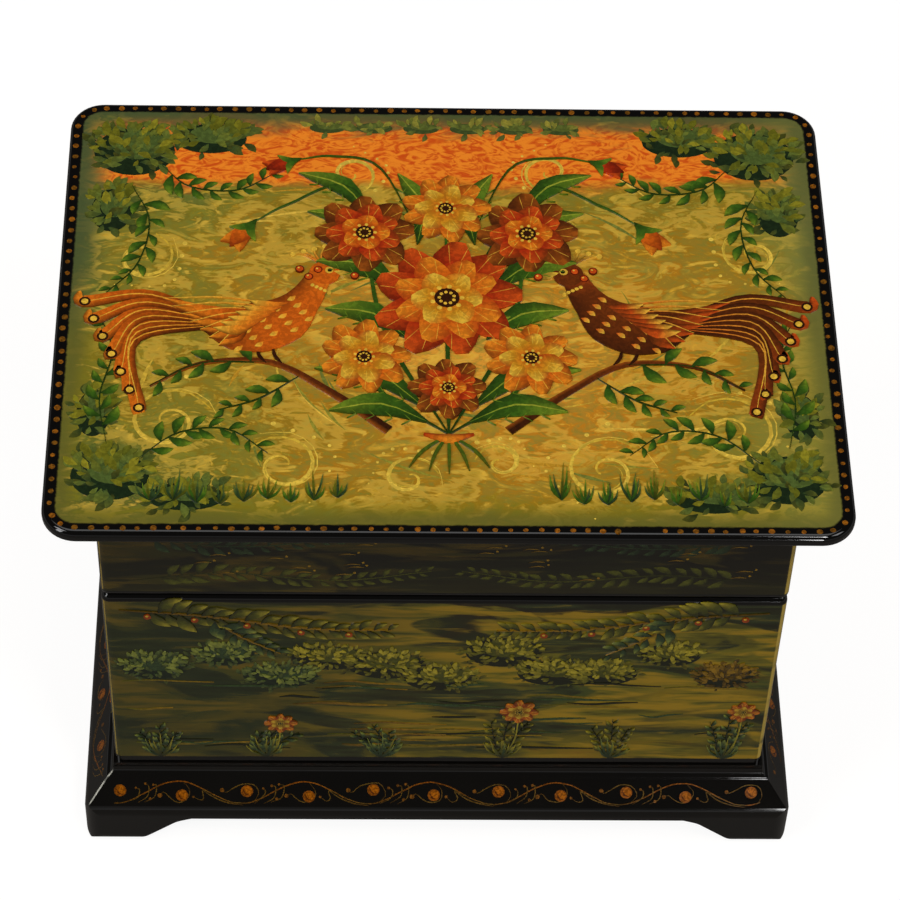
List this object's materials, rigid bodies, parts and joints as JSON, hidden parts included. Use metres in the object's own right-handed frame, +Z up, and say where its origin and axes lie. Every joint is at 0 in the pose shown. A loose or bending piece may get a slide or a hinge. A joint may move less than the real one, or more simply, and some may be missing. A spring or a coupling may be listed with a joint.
{
  "type": "lacquer box",
  "caption": "Lacquered papier-mache casket on a moulded plinth with bracket feet, with a hinged, overhanging framed lid, for keeping jewellery and small things.",
  "frame": {"origin": "on the surface that the box stands on, under the middle of the lid and the body", "axes": "+X along the front from left to right, +Y from the front to the hinged back, +Z up"},
  "size_m": [0.16, 0.117, 0.1154],
  "materials": {
    "lid_painting": "oil painting in yellow, olive and blue-green on papier-mache, under high-gloss clear lacquer, with a black border",
    "side_painting": "dark olive and ochre oil painting on papier-mache, under high-gloss clear lacquer, red inside",
    "black_lacquer": "high-gloss black lacquer on papier-mache, with a gold scroll",
    "red_lacquer": "gloss red lacquer on papier-mache",
    "brass": "satin brass"
  },
  "bodies": {
    "box": {"body_walls": "side_painting", "base_board": "black_lacquer", "body_floor": "red_lacquer", "inner_collar": "red_lacquer", "plinth_front": "black_lacquer", "plinth_back": "black_lacquer", "plinth_left": "black_lacquer", "plinth_right": "black_lacquer", "foot_front_left": "black_lacquer", "foot_front_right": "black_lacquer", "foot_back_left": "black_lacquer", "foot_back_right": "black_lacquer", "hinge_leaf_body": "brass", "hinge_pin": "brass", "hinge_nails_body": "brass"},
    "lid": {"lid_panel": "lid_painting", "lid_rim": "side_painting", "hinge_leaf_lid": "brass", "hinge_nails_lid": "brass"}
  },
  "joints": [
    {"name": "lid_hinge", "type": "hinge", "parent": "box", "child": "lid", "pos_m": [0, 0.04635, 0.0818], "axis": [-1, 0, 0], "range_deg": [0, 100]}
  ]
}
